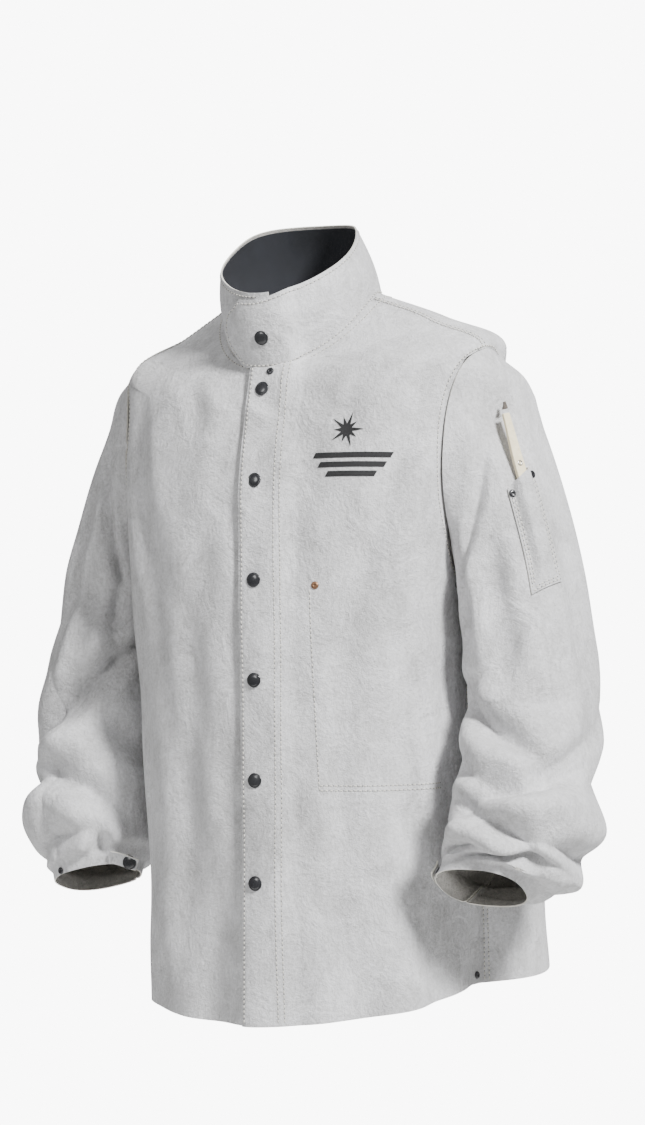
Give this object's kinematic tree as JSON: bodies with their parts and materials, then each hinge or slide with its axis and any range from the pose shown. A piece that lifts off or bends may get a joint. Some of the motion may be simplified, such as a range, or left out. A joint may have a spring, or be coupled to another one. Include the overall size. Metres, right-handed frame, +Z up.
{
  "type": "welding jacket",
  "caption": "Hip-length split-leather work jacket with stand collar, lapped snap front, two-piece sleeves with cuff tabs, an inside pocket and a marker pocket on the left sleeve.",
  "frame": {"origin": "on the wearer's shoulder line at the side of the neck, midway between the two sides", "axes": "+X to the wearer's left, +Y to the wearer's back, +Z up"},
  "size_m": [0.6464, 0.3487, 0.8368],
  "materials": {
    "suede": "brushed split suede, matt",
    "suede_inner_face": "rough flesh side, matt",
    "collar_lining_cloth": "plain dark cotton",
    "black_enamel": "gloss",
    "nickel_snap_part": "satin nickel",
    "bronze_rivet": "dark bronze",
    "soapstone": "chalky"
  },
  "bodies": {
    "shell": {"back_panel": "suede", "left_front_panel": "suede", "right_front_panel": "suede", "right_front_facing": "suede_inner_face", "collar_outer": "suede", "collar_lining": "collar_lining_cloth", "inside_pocket": "suede_inner_face", "snap_stud_1": "nickel_snap_part", "snap_stud_2": "nickel_snap_part", "snap_stud_3": "nickel_snap_part", "snap_stud_4": "nickel_snap_part", "snap_stud_5": "nickel_snap_part", "snap_stud_6": "nickel_snap_part", "collar_snap_stud": "nickel_snap_part", "pocket_rivet_front": "bronze_rivet", "pocket_rivet_side": "black_enamel", "side_seam_rivet_left": "black_enamel", "side_seam_rivet_right": "black_enamel"},
    "front_flap": {"left_front_flap": "suede", "left_front_facing": "suede_inner_face", "collar_flap": "suede", "collar_flap_lining": "collar_lining_cloth", "snap_cap_1": "black_enamel", "snap_cap_2": "black_enamel", "snap_cap_3": "black_enamel", "snap_cap_4": "black_enamel", "snap_cap_5": "black_enamel", "snap_cap_6": "black_enamel", "snap_socket_1": "nickel_snap_part", "snap_socket_2": "nickel_snap_part", "snap_socket_3": "nickel_snap_part", "snap_socket_4": "nickel_snap_part", "snap_socket_5": "nickel_snap_part", "snap_socket_6": "nickel_snap_part", "collar_snap_cap": "black_enamel", "collar_snap_socket": "nickel_snap_part", "neck_rivet": "black_enamel"},
    "left_upper_sleeve": {"left_upper_sleeve_outer": "suede", "left_upper_sleeve_under": "suede", "sleeve_pocket": "suede", "sleeve_pocket_rivet_front": "black_enamel", "sleeve_pocket_rivet_back": "black_enamel"},
    "left_lower_sleeve": {"left_lower_sleeve_outer": "suede", "left_lower_sleeve_under": "suede", "left_cuff_rivet": "black_enamel", "left_cuff_stud": "nickel_snap_part"},
    "left_cuff_tab": {"left_cuff_tab": "suede", "left_cuff_snap_cap": "black_enamel"},
    "marker": {"soapstone_marker": "soapstone"},
    "right_upper_sleeve": {"right_upper_sleeve_outer": "suede", "right_upper_sleeve_under": "suede"},
    "right_lower_sleeve": {"right_lower_sleeve_outer": "suede", "right_lower_sleeve_under": "suede", "right_cuff_rivet": "black_enamel", "right_cuff_stud": "nickel_snap_part"},
    "right_cuff_tab": {"right_cuff_tab": "suede", "right_cuff_snap_cap": "black_enamel"}
  },
  "joints": [
    {"name": "front_flap_open", "type": "hinge", "parent": "shell", "child": "front_flap", "pos_m": [0.0484, -0.141, -0.227], "axis": [-0.03, 0.0338, 0.999], "range_deg": [0, 110]},
    {"name": "left_sleeve_raise", "type": "hinge", "parent": "shell", "child": "left_upper_sleeve", "pos_m": [0.219, 0, -0.066], "axis": [0, -1, 0], "range_deg": [0, 35]},
    {"name": "left_elbow_bend", "type": "hinge", "parent": "left_upper_sleeve", "child": "left_lower_sleeve", "pos_m": [0.2483, -0.0665, -0.44], "axis": [-1, 0, 0], "range_deg": [0, 50]},
    {"name": "left_cuff_tab_open", "type": "hinge", "parent": "left_lower_sleeve", "child": "left_cuff_tab", "pos_m": [0.20085, -0.12361, -0.58902], "axis": [0.408, 0.304, 0.8609], "range_deg": [0, 50]},
    {"name": "marker_slide", "type": "slide", "parent": "left_upper_sleeve", "child": "marker", "axis": [-0.2912, -0.018, 0.9565], "range_m": [0, 0.06]},
    {"name": "right_sleeve_raise", "type": "hinge", "parent": "shell", "child": "right_upper_sleeve", "pos_m": [-0.197, 0, -0.082], "axis": [0, 1, 0], "range_deg": [0, 35]},
    {"name": "right_elbow_bend", "type": "hinge", "parent": "right_upper_sleeve", "child": "right_lower_sleeve", "pos_m": [-0.2433, -0.0665, -0.44], "axis": [-1, 0, 0], "range_deg": [0, 50]},
    {"name": "right_cuff_tab_close", "type": "hinge", "parent": "right_lower_sleeve", "child": "right_cuff_tab", "pos_m": [-0.19319, -0.08835, -0.60018], "axis": [-0.005, -0.008, -1], "range_deg": [-66, 10]}
  ]
}
